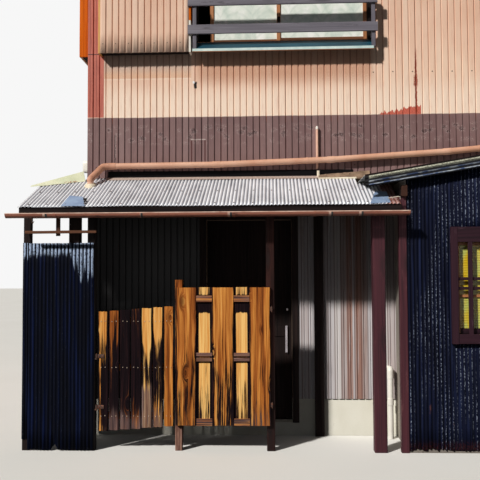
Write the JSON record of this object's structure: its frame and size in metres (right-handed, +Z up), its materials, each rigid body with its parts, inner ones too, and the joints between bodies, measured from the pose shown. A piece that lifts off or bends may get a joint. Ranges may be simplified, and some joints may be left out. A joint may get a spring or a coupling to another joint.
{
  "type": "machiya townhouse",
  "caption": "Two-storey timber townhouse clad in ribbed metal, with a corrugated lean-to porch, wooden gates, a sliding entrance door and a side bay.",
  "frame": {"origin": "centre of the bottom of the whole house's box, at ground level", "axes": "+X along the street to the right as seen from it, +Y from the street into the house, +Z up"},
  "size_m": [5.16, 6.954, 6.4131],
  "materials": {
    "concrete": "bare cast concrete, cream wash on the plinth",
    "wall_core": "timber framed wall behind the sheets",
    "floor_wood": "plain planed boards",
    "pink_sheet": "ribbed sheet, peach paint above and mauve brown below, weathered",
    "galvanised": "old galvanised sheet with rust",
    "dark_wood": "dark stained timber, matt",
    "door_wood": "dark stained timber, satin",
    "roof_sheet": "small corrugated sheet, dull and dusty",
    "pale_green": "faded pale green paint",
    "white_flashing": "dull white sheet",
    "blue_patch": "bluish flat sheet",
    "pipe_peach": "weathered peach brown plastic",
    "white_plastic": "white pipe and fittings",
    "navy_sheet": "navy painted corrugated sheet, chalky highlights",
    "purple_post": "purple brown paint on timber",
    "iron": "rusty black iron",
    "amber_glass": "ribbed amber pane",
    "frosted_glass": "frosted pane",
    "orange_wood": "orange brown varnish",
    "grey_wood": "grey painted boards",
    "gate_wood": "honey wood, charred and grey with age",
    "steel_pull": "satin metal"
  },
  "bodies": {
    "house": {"ground_floor": "concrete", "foundation": "concrete", "porch_wall_left": "wall_core", "porch_wall_right": "wall_core", "porch_wall_over_door": "wall_core", "upper_front_wall": "wall_core", "left_wall": "wall_core", "party_wall": "wall_core", "rear_wall": "wall_core", "upper_floor": "floor_wood", "front_cladding": "pink_sheet", "left_cladding": "pink_sheet", "rear_cladding": "pink_sheet", "galvanised_sheets": "galvanised", "door_frame": "dark_wood", "lean_to_roof": "roof_sheet", "lean_to_frame": "dark_wood", "head_flashing": "white_flashing", "verge_flashing": "pale_green", "roof_patches": "blue_patch", "eave_gutter": "pipe_peach", "drain_pipe": "pipe_peach", "wall_fittings": "white_plastic", "white_pipe": "white_plastic", "left_bay_sheet": "navy_sheet", "left_bay_frame": "dark_wood", "gate_posts": "gate_wood", "tall_post": "dark_wood", "porch_posts": "purple_post", "gate_pintles": "iron", "bay_walls": "wall_core", "bay_sheets": "navy_sheet", "bay_window": "purple_post", "bay_panes": "amber_glass", "bay_roof": "roof_sheet", "bay_roof_frame": "dark_wood", "front_window": "orange_wood", "plain_windows": "orange_wood", "window_panes": "frosted_glass", "balustrade": "grey_wood", "shutter_boxes": "pink_sheet", "main_roof": "roof_sheet", "ridge_cap": "roof_sheet", "roof_frame": "floor_wood", "bargeboards": "dark_wood", "main_gutters": "pipe_peach"},
    "board_gate": {"board_gate": "gate_wood"},
    "panel_gate": {"panel_gate": "gate_wood"},
    "sliding_door": {"entrance_door": "door_wood", "door_pull": "steel_pull"}
  },
  "joints": [
    {"name": "board_gate_hinge", "type": "hinge", "parent": "house", "child": "board_gate", "pos_m": [-1.8465, -3.244, 0.6], "axis": [0, 0, -1], "range_deg": [0, 90]},
    {"name": "panel_gate_hinge", "type": "hinge", "parent": "house", "child": "panel_gate", "pos_m": [-0.3505, -3.256, 0.6], "axis": [0, 0, 1], "range_deg": [0, 90]},
    {"name": "door_slide", "type": "slide", "parent": "house", "child": "sliding_door", "axis": [-1, 0, 0], "range_m": [0, 0.7]}
  ]
}
